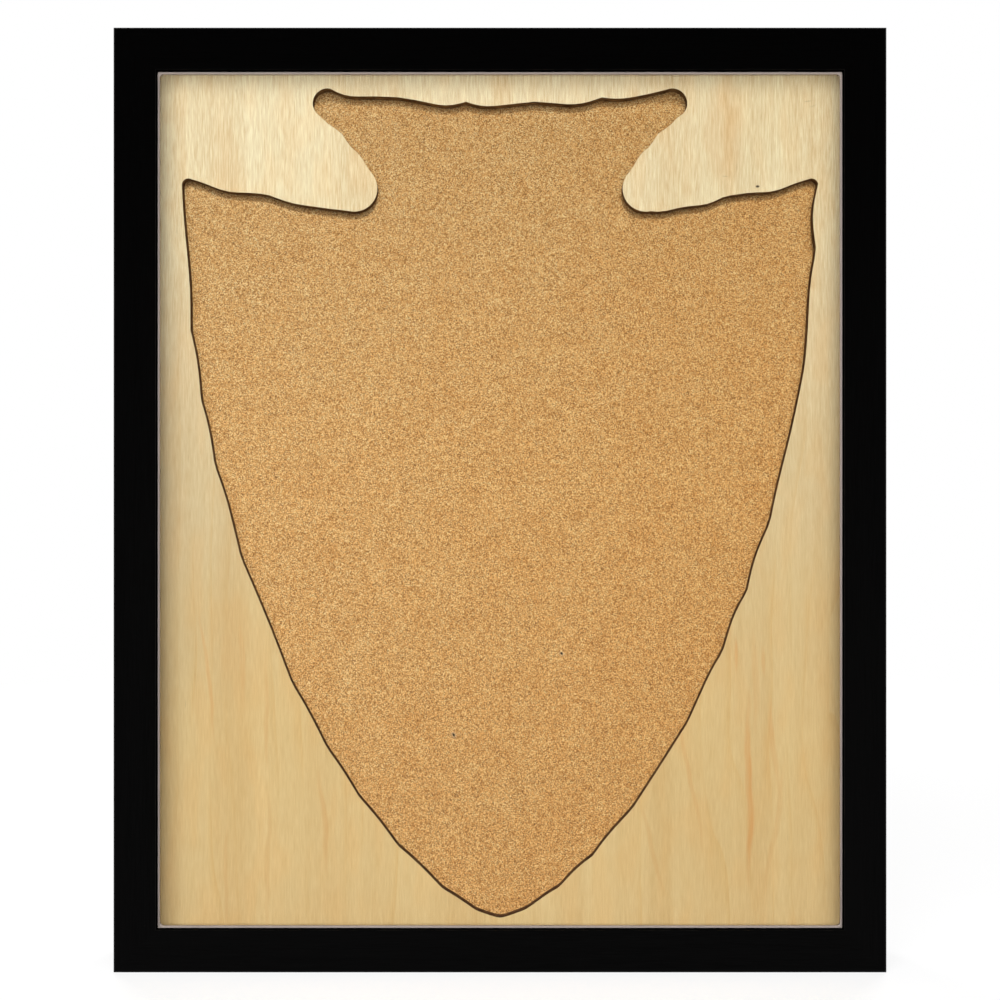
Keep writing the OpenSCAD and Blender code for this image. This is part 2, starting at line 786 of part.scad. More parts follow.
module hanger_strap() {
    eye_r = wire_r + run_fit + strap_t;
    difference() {
        union() {
            translate([-strap_w / 2, case_back_y, -strap_screw_drop]) cube([strap_w, strap_t, strap_screw_drop]);
            translate([0, case_back_y + strap_t, -strap_screw_drop]) facing_front() cylinder(h = strap_t, r = strap_w / 2);
            translate([-strap_w / 2, ring_y, 0]) rotate([0, 90, 0]) cylinder(h = strap_w, r = eye_r);
        }
        translate([-strap_w / 2 - over, ring_y, 0]) rotate([0, 90, 0])
            cylinder(h = strap_w + 2 * over, r = wire_r + run_fit);
        strap_screw_place() pan_screw_hole();
    }
}

module hanger_strap_left() { color("silver") translate([-ring_x, 0, ring_z]) hanger_strap(); }
module hanger_strap_right() { color("silver") translate([ring_x, 0, ring_z]) hanger_strap(); }
module hanger_screws() { color("silver") hanger_places() strap_screw_place() pan_screw(); }

// A ring of round wire with one straight side, hanging from its pivot
module d_ring() {
    side = ring_w / 2 + wire_r;
    translate([-side, 0, 0]) rotate([0, 90, 0]) cylinder(h = 2 * side, r = wire_r);
    for (x = [-side, side]) translate([x, 0, 0]) {
        sphere(wire_r);
        translate([0, 0, -ring_leg]) cylinder(h = ring_leg, r = wire_r);
    }
    translate([0, 0, -ring_leg]) rotate([90, 0, 0]) rotate_extrude(angle = -180)
        translate([side, 0]) circle(wire_r);
}

module d_ring_left() { color("silver") translate([-ring_x, ring_y, ring_z]) d_ring(); }
module d_ring_right() { color("silver") translate([ring_x, ring_y, ring_z]) d_ring(); }

module wall_bumpers() {
    color("#2a2727") for (x = [-1, 1], z = [bumper_inset, outer_h - bumper_inset])
        translate([x * (outer_w / 2 - land / 2), case_back_y, z]) rotate([-90, 0, 0]) {
            cylinder(h = bumper_t - bumper_round, r = bumper_r);
            translate([0, 0, bumper_t - bumper_round])
                cylinder(h = bumper_round, r1 = bumper_r, r2 = bumper_r - bumper_round);
        }
}

door_rail_top();
door_rail_bottom();
door_rail_left();
door_rail_right();
door_corner_nails();
door_glazing();
glazing_gasket();
retainer_top();
retainer_bottom();
retainer_left();
retainer_right();
retainer_brads();
strike_plates();
strike_screws();
hinge_upper_door_leaf();
hinge_lower_door_leaf();
hinge_door_screws();
case_top();
case_bottom();
case_side_left();
case_side_right();
case_corner_nails();
fascia_panel();
cork_sheet();
pin_backing();
back_panel();
back_points();
hinge_upper_case_leaf();
hinge_lower_case_leaf();
hinge_upper_pin();
hinge_lower_pin();
hinge_case_screws();
catch_magnets();
hanger_strap_left();
hanger_strap_right();
hanger_screws();
wall_bumpers();
d_ring_left();
d_ring_right();
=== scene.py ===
import math

import bmesh
import bpy
from mathutils import Matrix, Vector


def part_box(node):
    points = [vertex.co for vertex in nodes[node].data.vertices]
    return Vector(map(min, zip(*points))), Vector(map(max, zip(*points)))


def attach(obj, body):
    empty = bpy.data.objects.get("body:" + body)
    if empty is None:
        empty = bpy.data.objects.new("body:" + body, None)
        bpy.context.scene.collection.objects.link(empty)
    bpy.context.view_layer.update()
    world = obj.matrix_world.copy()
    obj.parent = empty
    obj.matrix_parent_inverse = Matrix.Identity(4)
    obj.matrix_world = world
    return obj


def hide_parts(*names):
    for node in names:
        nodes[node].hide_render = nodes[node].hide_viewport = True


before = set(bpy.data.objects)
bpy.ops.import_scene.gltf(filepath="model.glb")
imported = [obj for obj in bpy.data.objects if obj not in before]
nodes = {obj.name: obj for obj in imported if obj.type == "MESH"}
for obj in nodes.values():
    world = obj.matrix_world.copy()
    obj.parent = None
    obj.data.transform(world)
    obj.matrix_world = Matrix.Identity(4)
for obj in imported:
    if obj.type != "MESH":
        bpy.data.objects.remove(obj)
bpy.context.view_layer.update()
print("frame:", len(nodes), "nodes")


# Puts a link or a plain value on a socket
def feed(tree, socket, value):
    if isinstance(value, bpy.types.NodeSocket):
        tree.links.new(value, socket)
    elif socket.type == "RGBA":
        socket.default_value = (*value, 1)
    else:
        socket.default_value = value


def addNode(tree, kind, inputs=(), **settings):
    node = tree.nodes.new("ShaderNode" + kind)
    for key, value in settings.items():
        setattr(node, key, value)
    for key, value in dict(inputs).items():
        feed(tree, node.inputs[key], value)
    return node


def calc(tree, operation, a, b=0.0, limit=False):
    return addNode(tree, "Math", {0: a, 1: b}, operation=operation, use_clamp=limit).outputs[0]


def vectorCalc(tree, operation, a, b=(0, 0, 0)):
    return addNode(tree, "VectorMath", {0: a, 1: b}, operation=operation).outputs[0]


def remap(tree, value, low, high, toLow=0.0, toHigh=1.0):
    ends = {"Value": value, "From Min": low, "From Max": high, "To Min": toLow, "To Max": toHigh}
    return addNode(tree, "MapRange", ends).outputs[0]


def mixValue(tree, share, a, b):
    return addNode(tree, "Mix", {0: share, 2: a, 3: b}).outputs[0]


def mixColour(tree, share, a, b, blend="MIX"):
    return addNode(tree, "Mix", {0: share, 6: a, 7: b}, data_type="RGBA", blend_type=blend).outputs[2]


# Coordinates in which one unit is the given size in millimetres
def cells(tree, position, x, y, z):
    scale = (1000 / x, 1000 / y, 1000 / z)
    return addNode(tree, "Mapping", {"Vector": position, "Scale": scale}).outputs[0]


def noise(tree, vector, detail=2.0, roughness=0.5, distortion=0.0):
    values = {"Vector": vector, "Scale": 1.0, "Detail": detail, "Roughness": roughness,
              "Distortion": distortion}
    return addNode(tree, "TexNoise", values).outputs[0]


def voronoi(tree, vector):
    return addNode(tree, "TexVoronoi", {"Vector": vector, "Scale": 1.0}).outputs


def ramp(tree, share, stops, interpolation="LINEAR"):
    node = addNode(tree, "ValToRGB", {0: share})
    node.color_ramp.interpolation = interpolation
    points = node.color_ramp.elements
    while len(points) < len(stops):
        points.new(0.5)
    for point, (place, colour) in zip(points, stops):
        point.position = place
        point.color = (*colour, 1)
    return node.outputs[0]


def bump(tree, shader, height, depth):
    values = {"Height": height, "Strength": 1.0, "Distance": depth / 1000}
    feed(tree, shader.inputs["Normal"], addNode(tree, "Bump", values).outputs[0])


def startGroup(name, inputs, outputs):
    tree = bpy.data.node_groups.new(name, "ShaderNodeTree")
    for label, kind in inputs.items():
        tree.interface.new_socket(label, in_out="INPUT", socket_type="NodeSocket" + kind)
    for label in outputs:
        tree.interface.new_socket(label, in_out="OUTPUT", socket_type="NodeSocketFloat")
    return tree, tree.nodes.new("NodeGroupInput").outputs, tree.nodes.new("NodeGroupOutput").inputs


def startMaterial(name, plain=()):
    mat = bpy.data.materials.new(name)
    mat.use_nodes = True
    tree = mat.node_tree
    shader = tree.nodes["Principled BSDF"]
    for label, value in dict(plain).items():
        feed(tree, shader.inputs[label], value)
    return mat, tree, shader, addNode(tree, "TexCoord").outputs["Object"]


# Shared effects

def makeGrain():
    tree, given, result = startGroup("woodGrain", {"Position": "Vector"}, ("Lines", "Bands"))
    broad = addNode(tree, "Mapping", {"Vector": given[0], "Scale": (0.06, 0.06, 0.06)}).outputs[0]
    feed(tree, result[0], remap(tree, noise(tree, given[0], 3.0, 0.6, 0.15), 0.3, 0.7))
    feed(tree, result[1], remap(tree, noise(tree, broad, 2.0, 0.5, 0.3), 0.3, 0.7))
    return tree


# Worn where the surface turns between two faces, as on a rounded arris
def makeWear():
    inputs = {"Position": "Vector", "Normal": "Vector", "Amount": "Float"}
    tree, given, result = startGroup("arrisWear", inputs, ("Mask",))
    bare = vectorCalc(tree, "ABSOLUTE", given[1])
    parts = addNode(tree, "SeparateXYZ", {0: bare}).outputs
    widest = calc(tree, "MAXIMUM", calc(tree, "MAXIMUM", parts[0], parts[1]), parts[2])
    turned = remap(tree, calc(tree, "SUBTRACT", 1.0, widest), 0.03, 0.25)
    patches = remap(tree, noise(tree, cells(tree, given[0], 7, 7, 7), 4.0, 0.6), 0.48, 0.66)
    mask = calc(tree, "MULTIPLY", calc(tree, "MULTIPLY", turned, patches), given[2])
    feed(tree, result[0], mask)
    return tree


# A thin film on upward faces, with a few specks all over
def makeDust():
    inputs = {"Position": "Vector", "Normal": "Vector", "Amount": "Float"}
    tree, given, result = startGroup("dustFilm", inputs, ("Mask",))
    upward = remap(tree, addNode(tree, "SeparateXYZ", {0: given[1]}).outputs[2], 0.5, 0.95)
    film = calc(tree, "MULTIPLY", upward, noise(tree, cells(tree, given[0], 22, 22, 22), 5.0, 0.7))
    specks = remap(tree, voronoi(tree, cells(tree, given[0], 9, 9, 9))["Distance"], 0.05, 0.025)
    mask = calc(tree, "MULTIPLY", calc(tree, "ADD", film, specks, True), given[2])
    feed(tree, result[0], mask)
    return tree


# Cloudy patches and fine random scratches, for handled metal and glass
def makeHandling():
    tree, given, result = startGroup("handling", {"Position": "Vector"}, ("Clouds", "Scratches"))
    feed(tree, result[0], remap(tree, noise(tree, cells(tree, given[0], 4, 4, 4), 4.0, 0.65), 0.3, 0.7))
    lines = []
    for turn, length in ((0.5, 9), (-0.9, 6)):
        turned = addNode(tree, "VectorRotate", {"Vector": given[0], "Angle": turn},
                         rotation_type="Y_AXIS")
        lines.append(noise(tree, cells(tree, turned.outputs[0], length, 0.12, 0.12), 2.0, 0.6))
    both = calc(tree, "MAXIMUM", lines[0], lines[1])
    feed(tree, result[1], remap(tree, both, 0.62, 0.72))
    return tree


# A soft spot of the given half sizes in the XZ plane, at a place on the object
def makeMark():
    inputs = {"Position": "Vector", "Place": "Vector", "Size": "Vector", "Turn": "Float", "Soft": "Float"}
    tree, given, result = startGroup("mark", inputs, ("Mask",))
    moved = vectorCalc(tree, "SUBTRACT", given[0], given[1])
    turned = addNode(tree, "VectorRotate", {"Vector": moved, "Angle": given[3]}, rotation_type="Y_AXIS")
    scaled = vectorCalc(tree, "DIVIDE", turned.outputs[0], given[2])
    flat = vectorCalc(tree, "MULTIPLY", scaled, (1, 0, 1))
    reach = addNode(tree, "VectorMath", {0: flat}, operation="LENGTH").outputs["Value"]
    feed(tree, result[0], remap(tree, reach, 1.0, calc(tree, "SUBTRACT", 1.0, given[4])))
    return tree


grain = makeGrain()
wear = makeWear()
dust = makeDust()
handling = makeHandling()
mark = makeMark()


def use(tree, group, inputs):
    return addNode(tree, "Group", inputs, node_tree=group).outputs


def surfaceNormal(tree):
    return addNode(tree, "NewGeometry").outputs["Normal"]


# Satin black lacquer over fine-grained wood, with the grain along one axis
lacquer = {
    "colour": (0.0006, 0.0005, 0.0005),
    "worn": (0.013, 0.010, 0.008),
    "dusty": (0.050, 0.047, 0.044),
    "pore": (16, 0.5),  # length and width, mm
    "poreDepth": 0.03,  # mm
    "poreTone": 0.7,
    "coat": (0.62, 0.40),  # between the pores and in them
    "satin": 0.34,
    "wear": 0.5,
    "dust": 0.10,
    "sight": (0.2033, 0.2541, 0.2794),  # half width, half height and middle of the sight opening
}


def makeLacquer(name, along, look):
    plain = {"Specular IOR Level": 0.0, "Coat Roughness": look["satin"]}
    mat, tree, shader, position = startMaterial(name, plain)
    length, width = look["pore"]
    size = (length, width, width) if along == "X" else (width, width, length)
    lines, bands = use(tree, grain, {"Position": cells(tree, position, *size)})
    normal = surfaceNormal(tree)
    worn = use(tree, wear, {"Position": position, "Normal": normal, "Amount": look["wear"]})[0]
    dusty = use(tree, dust, {"Position": position, "Normal": normal, "Amount": look["dust"]})[0]
    deep = tuple(c * look["poreTone"] for c in look["colour"])
    colour = mixColour(tree, calc(tree, "MULTIPLY", lines, bands), look["colour"], deep)
    colour = mixColour(tree, worn, colour, look["worn"])
    feed(tree, shader.inputs["Base Color"], mixColour(tree, dusty, colour, look["dusty"]))
    # the coat gives all the sheen; the lip's inner edge has none
    halfWidth, halfHeight, middle = look["sight"]
    parts = addNode(tree, "SeparateXYZ", {0: position}).outputs
    beside = calc(tree, "SUBTRACT", calc(tree, "ABSOLUTE", parts[0]), halfWidth)
    fromMiddle = calc(tree, "ABSOLUTE", calc(tree, "SUBTRACT", parts[2], middle))
    above = calc(tree, "SUBTRACT", fromMiddle, halfHeight)
    polished = calc(tree, "GREATER_THAN", calc(tree, "MAXIMUM", beside, above), 0.0)
    pores = calc(tree, "MULTIPLY", lines, remap(tree, bands, 0.0, 1.0, 0.5, 1.0))
    coat = calc(tree, "SUBTRACT", remap(tree, pores, 0.0, 1.0, *look["coat"]), dusty, True)
    feed(tree, shader.inputs["Coat Weight"], calc(tree, "MULTIPLY", polished, coat))
    bump(tree, shader, lines, look["poreDepth"])
    return mat


# Birch plywood: pale face with upright fibres, and laser-charred edges
birch = {
    # colour by height, cream high up and honey lower down; towards the bottom it turns paler again, which
    # is painted light making up for less lamp light there
    "zones": ((0.05, (0.756, 0.530, 0.240)), (0.24, (0.712, 0.496, 0.220)),
              (0.38, (0.672, 0.477, 0.223)), (0.52, (0.670, 0.499, 0.261)),
              (0.64, (0.732, 0.560, 0.316)), (0.77, (0.810, 0.654, 0.392)),
              (0.96, (0.850, 0.692, 0.424))),
    "height": 0.5588,
    "drift": 0.06,  # how far the zones wander, as a share of the height
    "fibre": (0.75, 11),  # width and length, mm
    "figure": (4.5, 150),
    "contrast": {"fibre": (-0.22, 0.19), "figure": (-0.065, 0.065), "broad": (0.943, 1.057),
                 "bands": (-0.02, 0.02)},
    "fade": (0.42, 0.8, 0.46, 1.0),  # fibres are weaker low down: heights and strengths
    "tints": ((0.35, (1.015, 0.980, 0.945)), (0.5, (1, 1, 1)), (0.65, (0.990, 1.0, 1.010))),
    "rings": (0.0165, 0.016, (0.965, 0.872, 0.740)),  # spacing, sway and tint
    "streaks": (  # x, z, half width, half length, lean, strength
        (0.1499, 0.104, 0.0026, 0.065, 0.00, 0.88), (0.1650, 0.133, 0.0022, 0.034, 0.10, 0.45),
        (0.1655, 0.082, 0.0022, 0.045, -0.15, 0.36), (0.1541, 0.169, 0.0026, 0.034, 0.02, 0.32),
        (0.1143, 0.112, 0.0017, 0.050, 0.17, 0.42), (0.0915, 0.068, 0.0018, 0.034, 0.28, 0.36),
        (0.1427, 0.186, 0.0013, 0.012, 0.00, 0.65), (0.1590, 0.182, 0.0016, 0.011, 0.03, 0.40),
        (-0.1760, 0.172, 0.0014, 0.046, 0.10, 0.48), (-0.1554, 0.180, 0.0022, 0.030, 0.00, 0.35),
        (-0.1409, 0.149, 0.0018, 0.038, 0.02, 0.40), (-0.1405, 0.060, 0.0020, 0.050, 0.00, 0.35),
        (-0.1070, 0.085, 0.0022, 0.036, 0.09, 0.42), (-0.1655, 0.050, 0.0016, 0.040, 0.02, 0.35),
        (0.1448, 0.456, 0.0016, 0.009, 0.00, 0.45),
        (0.1354, 0.500, 0.0140, 0.040, 0.00, 0.30), (-0.1650, 0.470, 0.0120, 0.050, 0.00, 0.16)),
    "streakColour": (0.670, 0.350, 0.118),
    "waver": 0.0022,  # how far the streaks sway sideways
    # painted shade: darker along the left rail, where the frame shades the panel, and at the top right
    "paintedShades": (  # x, z, half width, half length, colour at the middle
        (-0.2050, 0.240, 0.050, 0.260, (0.910, 0.918, 0.955)),
        (0.1650, 0.515, 0.080, 0.120, (0.930, 0.900, 0.845))),
    "flaws": (  # place, half sizes, lean, softness, strength: a knot and three scratches
        ((0.1554, 0, 0.4686), (0.0014, 1, 0.0009), 0.0, 0.45, 0.97),
        ((0.1856, 0, 0.5200), (0.0032, 1, 0.0004), 0.15, 0.9, 0.30),
        ((0.1890, 0, 0.5172), (0.0030, 1, 0.0004), 0.35, 0.9, 0.25),
        ((0.1360, 0, 0.4747), (0.0026, 1, 0.0004), 0.0, 0.9, 0.28)),
    "flawColour": (0.055, 0.030, 0.014),
    "fleck": (0.40, 0.26, 0.13),
    "poreDepth": 0.05,  # mm
    "rough": (0.50, 0.62),
    "edgeRough": 0.95,
    "char": ((0.0, (0.020, 0.007, 0.0006)), (0.45, (0.070, 0.028, 0.004)), (1.0, (0.230, 0.125, 0.045))),
}


def makeBirch(look):
    mat, tree, shader, position = startMaterial("birchPly", {"Specular IOR Level": 0.25})
    parts = addNode(tree, "SeparateXYZ", {0: position}).outputs
    height = calc(tree, "DIVIDE", parts[2], look["height"])
    drift = noise(tree, cells(tree, position, 90, 90, 260), 2.0)
    height = calc(tree, "ADD", height, remap(tree, drift, 0.3, 0.7, -look["drift"], look["drift"]))
    # colour by height from the zones, with painted light towards the bottom
    base = ramp(tree, height, look["zones"], "EASE")
    width, length = look["fibre"]
    lines, bands = use(tree, grain, {"Position": cells(tree, position, width, width, length)})
    width, length = look["figure"]
    figure = noise(tree, cells(tree, position, width, width, length), 2.0, 0.5, 0.2)
    broad = noise(tree, cells(tree, position, 20, 20, 500), 2.0)
    fade = remap(tree, height, *look["fade"])
    contrast = look["contrast"]
    shade = calc(tree, "ADD", remap(tree, lines, 0.0, 1.0, *contrast["fibre"]),
                 remap(tree, figure, 0.3, 0.7, *contrast["figure"]))
    shade = calc(tree, "MULTIPLY", shade, fade)
    shade = calc(tree, "ADD", shade, remap(tree, broad, 0.3, 0.7, *contrast["broad"]))
    shade = calc(tree, "ADD", shade, remap(tree, bands, 0.0, 1.0, *contrast["bands"]))
    tinted = ramp(tree, noise(tree, cells(tree, position, 11, 11, 40), 1.0), look["tints"])
    colour = mixColour(tree, 1.0, base, tinted, "MULTIPLY")
    # the shade changes red least and blue most
    red = remap(tree, shade, 0.5, 1.5, 0.7, 1.3)
    blue = remap(tree, shade, 0.5, 1.5, 0.28, 1.72)
    shadeColour = addNode(tree, "CombineColor", {0: red, 1: shade, 2: blue}).outputs[0]
    colour = mixColour(tree, 1.0, colour, shadeColour, "MULTIPLY")
    # painted shade patches, multiplied into the wood colour
    for x, z, width, length, paintedShadeColour in look["paintedShades"]:
        spot = use(tree, mark, {"Position": position, "Place": (x, 0, z), "Size": (width, 1, length),
                                "Soft": 0.9})[0]
        colour = mixColour(tree, spot, colour, paintedShadeColour, "MULTIPLY")
    # growth rings: long lines that sway, end sharply on one side and fade in and out
    spacing, sway, tint = look["rings"]
    bend = remap(tree, noise(tree, cells(tree, position, 60, 400, 300), 2.0), 0.3, 0.7, -sway, sway)
    across = calc(tree, "DIVIDE", calc(tree, "ADD", parts[0], bend), spacing)
    own = addNode(tree, "CombineXYZ", {0: calc(tree, "MULTIPLY", calc(tree, "FLOOR", across), 5.3),
                                       2: calc(tree, "MULTIPLY", parts[2], 9.0)}).outputs[0]
    ring = calc(tree, "MULTIPLY", calc(tree, "POWER", calc(tree, "FRACT", across), 8.0),
                remap(tree, noise(tree, own, 2.0), 0.38, 0.65))
    ring = calc(tree, "MULTIPLY", ring, remap(tree, height, 0.40, 0.75, 1.0, 0.35))
    colour = mixColour(tree, ring, colour, tint, "MULTIPLY")
    waver = noise(tree, cells(tree, position, 5000, 5000, 60), 2.0)
    waver = remap(tree, waver, 0.3, 0.7, -look["waver"], look["waver"])
    wavy = addNode(tree, "CombineXYZ", {0: waver}).outputs[0]
    wavy = vectorCalc(tree, "ADD", position, wavy)
    broken = remap(tree, noise(tree, cells(tree, position, 2.0, 2.0, 22), 2.0), 0.3, 0.6, 0.55, 1.0)
    for x, z, width, length, lean, strength in look["streaks"]:
        spot = use(tree, mark, {"Position": wavy, "Place": (x, 0, z), "Size": (width, 1, length),
                                "Turn": lean, "Soft": 0.5})[0]
        spot = calc(tree, "MULTIPLY", calc(tree, "MULTIPLY", spot, broken), strength)
        colour = mixColour(tree, spot, colour, look["streakColour"])
    for place, size, lean, soft, strength in look["flaws"]:
        spot = use(tree, mark, {"Position": position, "Place": place, "Size": size,
                                "Turn": lean, "Soft": soft})[0]
        colour = mixColour(tree, calc(tree, "MULTIPLY", spot, strength), colour, look["flawColour"])
    flecks = voronoi(tree, cells(tree, position, 8, 8, 60))["Distance"]
    flecks = remap(tree, flecks, 0.05, 0.02, 0.0, 0.35)
    colour = mixColour(tree, flecks, colour, look["fleck"])
    # the edges, cut across the plies
    facing = addNode(tree, "SeparateXYZ", {0: surfaceNormal(tree)}).outputs
    edge = remap(tree, calc(tree, "ABSOLUTE", facing[1]), 0.7, 0.4)
    plies = noise(tree, cells(tree, position, 60, 1.0, 60), 1.0)
    soot = noise(tree, cells(tree, position, 5, 3, 5), 3.0, 0.6)
    scorch = calc(tree, "ADD", calc(tree, "MULTIPLY", plies, 0.45), calc(tree, "MULTIPLY", soot, 0.75))
    # painted light: the cut is paler where it faces down, standing in for light thrown up onto it from
    # the cork
    scorch = calc(tree, "ADD", scorch, remap(tree, facing[2], -0.2, -0.9, 0.0, 0.10))
    charred = ramp(tree, remap(tree, scorch, 0.35, 0.85), look["char"])
    feed(tree, shader.inputs["Base Color"], mixColour(tree, edge, colour, charred))
    rough = remap(tree, lines, 0.0, 1.0, *look["rough"])
    feed(tree, shader.inputs["Roughness"], mixValue(tree, edge, rough, look["edgeRough"]))
    bump(tree, shader, lines, look["poreDepth"])
    return mat


# Fine-grained pressed cork
cork = {
    "granule": 0.44,  # mm
    "crumb": 0.26,
    "crumbShare": 0.10,
    "wander": 0.0003,  # how far the granules are pushed out of their cells
    "speck": (1.45, (0.160, 0.070, 0.014), (1.0, 0.800, 0.440)),  # spacing, dark and pale
    "tones": ((0.0, (0.120, 0.040, 0.007)), (0.08, (0.240, 0.098, 0.022)), (0.25, (0.460, 0.224, 0.066)),
              (0.50, (0.675, 0.364, 0.122)), (0.75, (0.900, 0.535, 0.205)), (1.0, (1.0, 0.830, 0.440))),
    "patch": (0.97, 0.93, 0.88),
    "cloud": (1.0, 0.965, 0.93),
    # painted shade: the cork turns darker and warmer towards the right, as if lit from the left
    "sides": ((1.0, 1.0, 1.0), (0.925, 0.875, 0.790)),  # left and right
    # painted shade: the cork is darker and cooler high up and paler low down, by height alone
    "rise": ((0.0, (0.804, 0.822, 0.859)), (0.5, (0.950, 0.926, 0.900)),
             (1.0, (1.0, 0.951, 0.895))),  # from high up to low down
    "holeRim": (0.86, 0.64, 0.40),
    # painted shade inside each pin hole
    "hole": (0.035, 0.014, 0.002),
    "bumpDepth": 0.12,  # mm
}


def makeCork(look):
    mat, tree, shader, position = startMaterial("pressedCork", {"Specular IOR Level": 0.3})
    warp = addNode(tree, "TexNoise", {"Vector": cells(tree, position, 0.9, 0.9, 0.9), "Scale": 1.0})
    warp = vectorCalc(tree, "SUBTRACT", warp.outputs[1], (0.5, 0.5, 0.5))
    warp = addNode(tree, "VectorMath", {0: warp, "Scale": look["wander"]}, operation="SCALE").outputs[0]
    warped = vectorCalc(tree, "ADD", position, warp)
    layers = []
    for size in (look["granule"], look["crumb"]):
        grid = cells(tree, warped, size, size, size)
        layers.append(voronoi(tree, grid))
    tones = [addNode(tree, "SeparateColor", {0: layer["Color"]}).outputs[0] for layer in layers]
    colour = ramp(tree, tones[0], look["tones"])
    crumbs = ramp(tree, tones[1], look["tones"])
    colour = mixColour(tree, look["crumbShare"], colour, crumbs)
    spacing, dark, pale = look["speck"]
    grid = cells(tree, warped, spacing, spacing, spacing)
    specks = voronoi(tree, grid)
    chance = addNode(tree, "SeparateColor", {0: specks["Color"]}).outputs
    spot = calc(tree, "MULTIPLY", remap(tree, specks["Distance"], 0.27, 0.19), chance[1])
    speckColour = mixColour(tree, calc(tree, "GREATER_THAN", chance[0], 0.55), dark, pale)
    colour = mixColour(tree, spot, colour, speckColour)
    patches = noise(tree, cells(tree, position, 14, 14, 14), 2.0)
    colour = mixColour(tree, remap(tree, patches, 0.35, 0.65), colour, look["patch"], "MULTIPLY")
    wide = noise(tree, cells(tree, position, 70, 70, 70), 2.0)
    colour = mixColour(tree, remap(tree, wide, 0.35, 0.65, 0.0, 0.6), colour, look["cloud"], "MULTIPLY")
    parts = addNode(tree, "SeparateXYZ", {0: position}).outputs
    # painted shade, darker towards the right
    sides = mixColour(tree, remap(tree, parts[0], -0.13, 0.13), *look["sides"])
    colour = mixColour(tree, 1.0, colour, sides, "MULTIPLY")
    # painted shade by height, darker high up
    level = ramp(tree, remap(tree, parts[2], 0.50, 0.08), look["rise"])
    colour = mixColour(tree, 1.0, colour, level, "MULTIPLY")
    for (x, z), (long, short, turn) in zip(pinHoles["places"], pinHoles["torn"]):
        place = {"Position": position, "Place": (x, 0, z), "Turn": turn}
        rim = use(tree, mark, dict(place, Size=(long * 1.9, 1, short * 2.1), Soft=0.8))[0]
        colour = mixColour(tree, calc(tree, "MULTIPLY", rim, 0.45), colour, look["holeRim"])
        # the hole is cut in the mesh as well; the dark spot over it is painted shade, wider than the cut
        spot = use(tree, mark, dict(place, Size=(long, 1, short), Soft=0.45))[0]
        colour = mixColour(tree, calc(tree, "MULTIPLY", spot, 0.96), colour, look["hole"])
    feed(tree, shader.inputs["Base Color"], colour)
    feed(tree, shader.inputs["Roughness"], remap(tree, tones[0], 0.0, 1.0, 0.72, 0.88))
    low = calc(tree, "MULTIPLY", layers[1]["Distance"], 0.4)
    low = calc(tree, "ADD", layers[0]["Distance"], low)
    bump(tree, shader, calc(tree, "SUBTRACT", 1.0, low), look["bumpDepth"])
    return mat


# Clear picture glass that lets the lamps through
def makeGlass():
    plain = {"Base Color": (0.995, 1.0, 0.998), "Roughness": 0.0, "IOR": 1.5, "Transmission Weight": 1.0,
             "Specular IOR Level": 0.3}
    mat, tree, shader, position = startMaterial("pictureGlass", plain)
    path = addNode(tree, "LightPath").outputs
    mirrored = calc(tree, "SUBTRACT", path["Is Glossy Ray"], path["Is Transmission Ray"], True)
    through = calc(tree, "MAXIMUM", path["Is Shadow Ray"], path["Is Diffuse Ray"])
    through = calc(tree, "MAXIMUM", through, mirrored)
    clear = addNode(tree, "BsdfTransparent", {"Color": (0.995, 0.999, 0.997)})
    both = addNode(tree, "MixShader", {0: through, 1: shader.outputs[0], 2: clear.outputs[0]})
    tree.links.new(both.outputs[0], tree.nodes["Material Output"].inputs["Surface"])
    clouds = use(tree, handling, {"Position": position})[0]
    bump(tree, shader, calc(tree, "MULTIPLY", clouds, 0.02), 0.01)
    return mat


metals = {  # gloss and bare: from clean to cloudy; marks in mm
    "agedBrass": {"colour": (0.70, 0.49, 0.19), "dull": (0.46, 0.30, 0.105), "gloss": (0.24, 0.42),
                  "bare": (0.85, 0.55), "marks": 0.02},
    "darkBrass": {"colour": (0.42, 0.28, 0.10), "dull": (0.25, 0.155, 0.05), "gloss": (0.28, 0.46),
                  "bare": (0.85, 0.55), "marks": 0.02},
    "brightNickel": {"colour": (0.60, 0.58, 0.54), "dull": (0.46, 0.44, 0.41), "gloss": (0.18, 0.32),
                     "bare": (1.0, 0.85), "marks": 0.015},
    "zincPlate": {"colour": (0.52, 0.54, 0.57), "dull": (0.35, 0.36, 0.38), "gloss": (0.30, 0.52),
                  "bare": (0.85, 0.55), "marks": 0.02},
}


def makeMetal(name, look):
    mat, tree, shader, position = startMaterial(name)
    clouds, scratches = use(tree, handling, {"Position": position})
    feed(tree, shader.inputs["Metallic"], remap(tree, clouds, 0.0, 1.0, *look["bare"]))
    worn = use(tree, wear, {"Position": position, "Normal": surfaceNormal(tree), "Amount": 0.6})[0]
    colour = mixColour(tree, calc(tree, "POWER", clouds, 1.6), look["colour"], look["dull"])
    feed(tree, shader.inputs["Base Color"], mixColour(tree, worn, colour, look["colour"]))
    rough = remap(tree, clouds, 0.0, 1.0, *look["gloss"])
    rough = calc(tree, "ADD", rough, calc(tree, "MULTIPLY", scratches, 0.12))
    feed(tree, shader.inputs["Roughness"], rough)
    bump(tree, shader, calc(tree, "SUBTRACT", clouds, scratches), look["marks"])
    return mat


